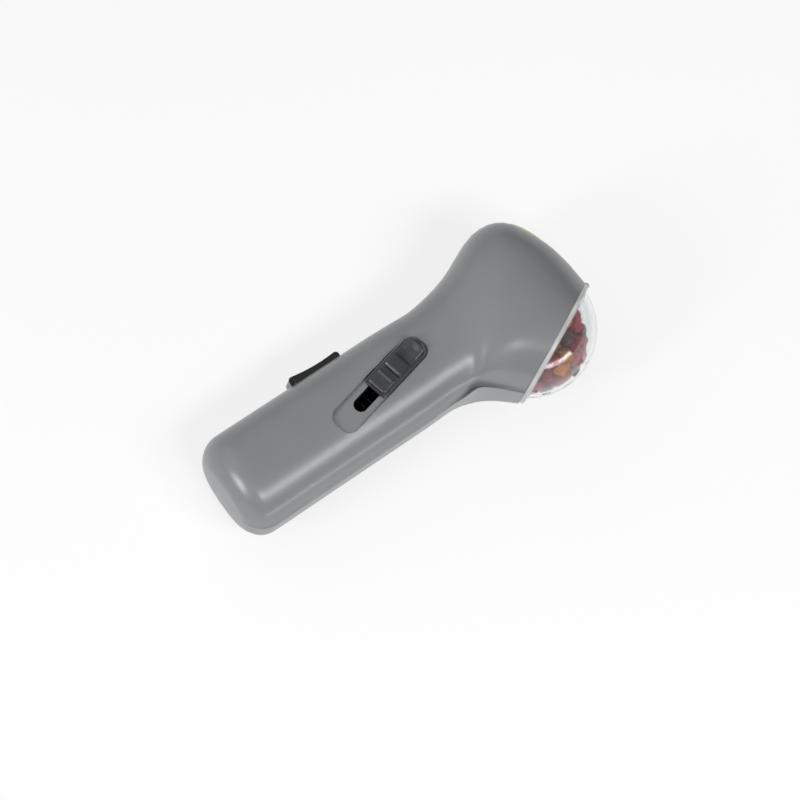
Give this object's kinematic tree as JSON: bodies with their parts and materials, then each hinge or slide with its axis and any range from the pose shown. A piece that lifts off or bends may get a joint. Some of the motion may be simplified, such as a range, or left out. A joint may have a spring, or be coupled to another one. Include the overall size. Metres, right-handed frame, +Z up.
{
  "type": "push button treat dispenser",
  "caption": "Hand-held dispenser that stores dry pet treats in a domed hopper and throws them from a sprung barrel with a slider and a trigger.",
  "frame": {"origin": "centre of the bounding box's underside, on the table the dispenser lies on", "axes": "+X from the handle's butt to the muzzle, +Y towards the trigger's side, +Z up through the slider knob's side"},
  "size_m": [0.1746, 0.073, 0.0554],
  "materials": {
    "shell_grey": "satin",
    "black_plastic": "satin",
    "lime_plastic": "glossy",
    "light_plastic": "glossy",
    "clear_plastic": "clear",
    "soft_rubber": "matte",
    "bright_steel": "brushed",
    "spring_steel": "drawn"
  },
  "bodies": {
    "root": {"upper_shell": "shell_grey", "lower_shell": "shell_grey", "launch_barrel": "black_plastic", "muzzle_liner": "lime_plastic", "barrel_retaining_ring": "black_plastic", "hopper_funnel": "light_plastic", "hopper_seal_ring": "soft_rubber", "lid_hinge_pin": "bright_steel", "bumper_washer": "soft_rubber", "spring_seat": "black_plastic", "launch_spring": "spring_steel", "trigger_pin": "bright_steel", "trigger_spring": "spring_steel", "shell_screws": "bright_steel"},
    "plunger": {"slider_knob": "black_plastic", "slider_carriage": "black_plastic", "plunger_rod": "bright_steel", "plunger_head": "light_plastic", "plunger_pad": "soft_rubber"},
    "trigger": {"trigger_lever": "black_plastic", "trigger_sear": "bright_steel"},
    "lid": {"hopper_lid": "clear_plastic"}
  },
  "joints": [
    {"name": "slider_stroke", "type": "slide", "parent": "root", "child": "plunger", "axis": [0.9693, 0.2385, 0.059], "range_m": [-0.019, 0], "stiffness_N_per_m": 150, "springref_m": 0.02, "deforming": ["launch_spring"]},
    {"name": "trigger_pivot", "type": "hinge", "parent": "root", "child": "trigger", "pos_m": [-0.01689, 0.0203, 0.02294], "axis": [-0.0608, 0, 0.9982], "range_deg": [0, 5.5], "stiffness_Nm_per_rad": 0.1, "springref_deg": -5.73, "deforming": ["trigger_spring"]},
    {"name": "lid_hinge", "type": "hinge", "parent": "root", "child": "lid", "pos_m": [0.08563, -0.00755, 0.02918], "axis": [-0.0608, 0, 0.9982], "range_deg": [0, 90]}
  ]
}
